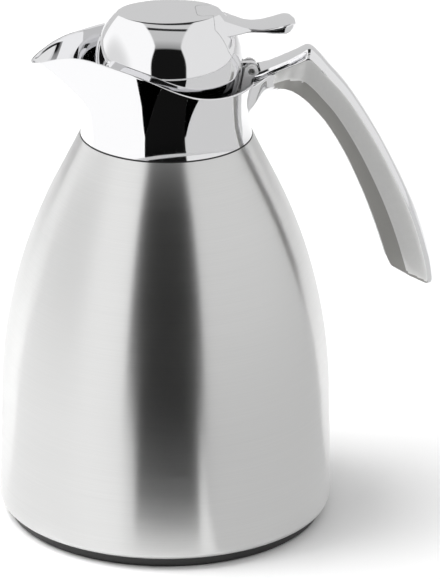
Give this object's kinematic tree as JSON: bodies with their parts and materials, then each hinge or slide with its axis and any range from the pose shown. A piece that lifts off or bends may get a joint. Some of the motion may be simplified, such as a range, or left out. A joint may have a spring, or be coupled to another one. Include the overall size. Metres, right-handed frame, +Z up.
{
  "type": "thermal carafe",
  "caption": "Steel thermal carafe with a glass vacuum flask, chrome collar with spout and open-ended handle, and a ball flip lid on a rear hinge with a thumb lever.",
  "frame": {"origin": "where the flask's axis meets the surface that the carafe stands on", "axes": "+Z up along the flask's axis, +X towards the handle, -X towards the spout, Y across; the shape is mirrored in the XZ plane"},
  "size_m": [0.196, 0.15, 0.2364],
  "materials": {
    "brushed_body": "fine horizontal brushing",
    "polished_chrome": "mirror polished plating",
    "satin_strip": "satin plating",
    "dark_plastic": "fine moulded texture",
    "black_plastic": "moulded",
    "black_rubber": "matte",
    "grey_rubber": "matte",
    "silicone": "matte translucent white",
    "white_pad": "matte",
    "silvered_glass": "silvered on the vacuum side",
    "spring_steel": "drawn wire",
    "screw_steel": "turned, zinc plated"
  },
  "bodies": {
    "carafe": {"outer_shell": "brushed_body", "base_socket": "dark_plastic", "base_cap": "black_plastic", "foot_pad": "black_rubber", "base_cushion": "grey_rubber", "flask_outer_wall": "silvered_glass", "flask_inner_wall": "silvered_glass", "flask_spacers": "white_pad", "neck_gasket": "silicone", "neck_insert": "dark_plastic", "clamp_ring": "dark_plastic", "seam_ring": "black_rubber", "collar": "polished_chrome", "grip_strip": "satin_strip", "hinge_bracket": "polished_chrome", "bracket_screws": "screw_steel", "hinge_pin": "screw_steel", "closing_spring": "spring_steel"},
    "lid": {"ball_dome": "polished_chrome", "thumb_lever": "polished_chrome", "lid_base": "dark_plastic", "lid_screws": "screw_steel", "stopper_spring": "spring_steel"},
    "stopper": {"stopper_plate": "dark_plastic", "stopper_seal": "silicone", "stem_clip": "screw_steel"}
  },
  "joints": [
    {"name": "lid_hinge", "type": "hinge", "parent": "carafe", "child": "lid", "pos_m": [0.0372, 0, 0.209], "axis": [0, 1, 0], "range_deg": [0, 24], "stiffness_Nm_per_rad": 0.25, "springref_deg": -20.05, "deforming": ["closing_spring"]},
    {"name": "stopper_float", "type": "slide", "parent": "lid", "child": "stopper", "axis": [0, 0, 1], "range_m": [0, 0.0015], "stiffness_N_per_m": 1500, "springref_m": -0.003, "deforming": ["stopper_spring"]}
  ]
}
